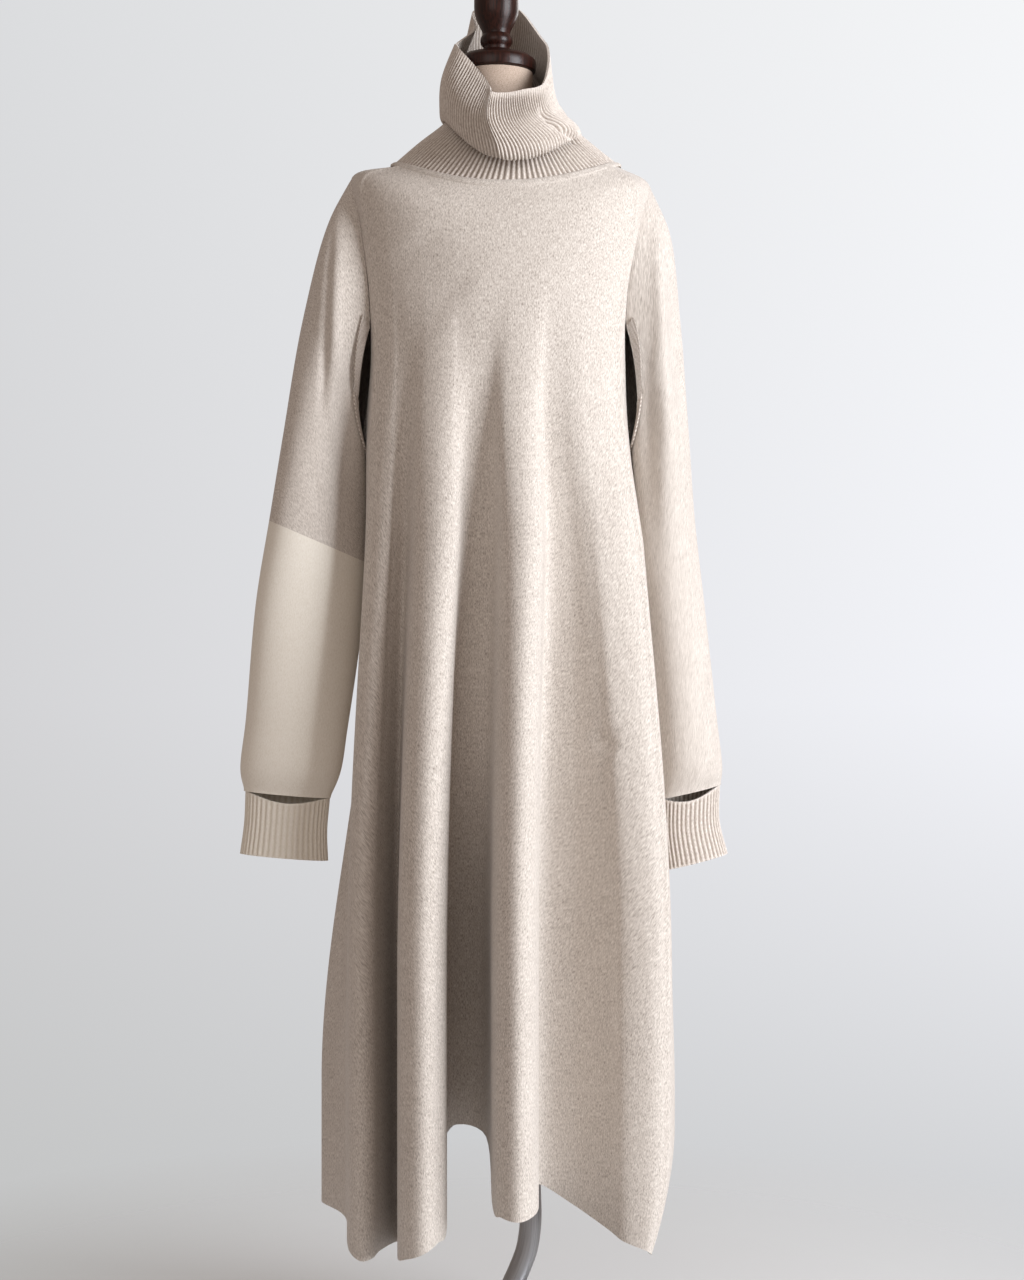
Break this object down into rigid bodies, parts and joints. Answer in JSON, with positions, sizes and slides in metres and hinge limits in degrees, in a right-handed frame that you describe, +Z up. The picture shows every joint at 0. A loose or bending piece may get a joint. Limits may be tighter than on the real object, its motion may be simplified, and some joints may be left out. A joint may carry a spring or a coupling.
{
  "type": "sweater dress on a dress form",
  "caption": "Long-sleeved A-line knit dress with a slumped funnel collar and rolled skirt folds, worn by a limbless dress form on a pole stand.",
  "frame": {"origin": "middle of the round base plate's underside, on the surface that the stand rests on", "axes": "+Z up, -Y towards the front of the dress, +X towards the wearer's left"},
  "size_m": [0.5395, 0.338, 1.552],
  "materials": {
    "heather_knit": "double knit in oatmeal heather with fine vertical marl, soft and slightly felted",
    "heather_rib": "ribbed knit in oatmeal heather",
    "cream_knit": "plain double knit in cream",
    "cream_rib": "ribbed knit in cream",
    "linen": "tight plain-weave linen cover",
    "dark_wood": "turned, stained dark red-brown, satin lacquer",
    "satin_steel": "satin"
  },
  "bodies": {
    "root": {"dress_front": "heather_knit", "dress_back": "heather_knit", "collar": "heather_rib", "neck_trim": "heather_rib", "sleeve_left": "heather_knit", "sleeve_right_upper": "heather_knit", "sleeve_right_lower": "cream_knit", "cuff_left": "heather_rib", "cuff_right": "cream_rib", "underarm_band_left": "heather_rib", "underarm_band_right": "heather_rib", "form_torso": "linen", "form_neck_cap": "dark_wood", "form_finial": "dark_wood", "form_arm_plate_left": "dark_wood", "form_arm_plate_right": "dark_wood", "form_base_board": "dark_wood", "stand_flange": "satin_steel", "stand_pole": "satin_steel", "stand_socket": "satin_steel", "stand_base": "satin_steel"}
  },
  "joints": []
}
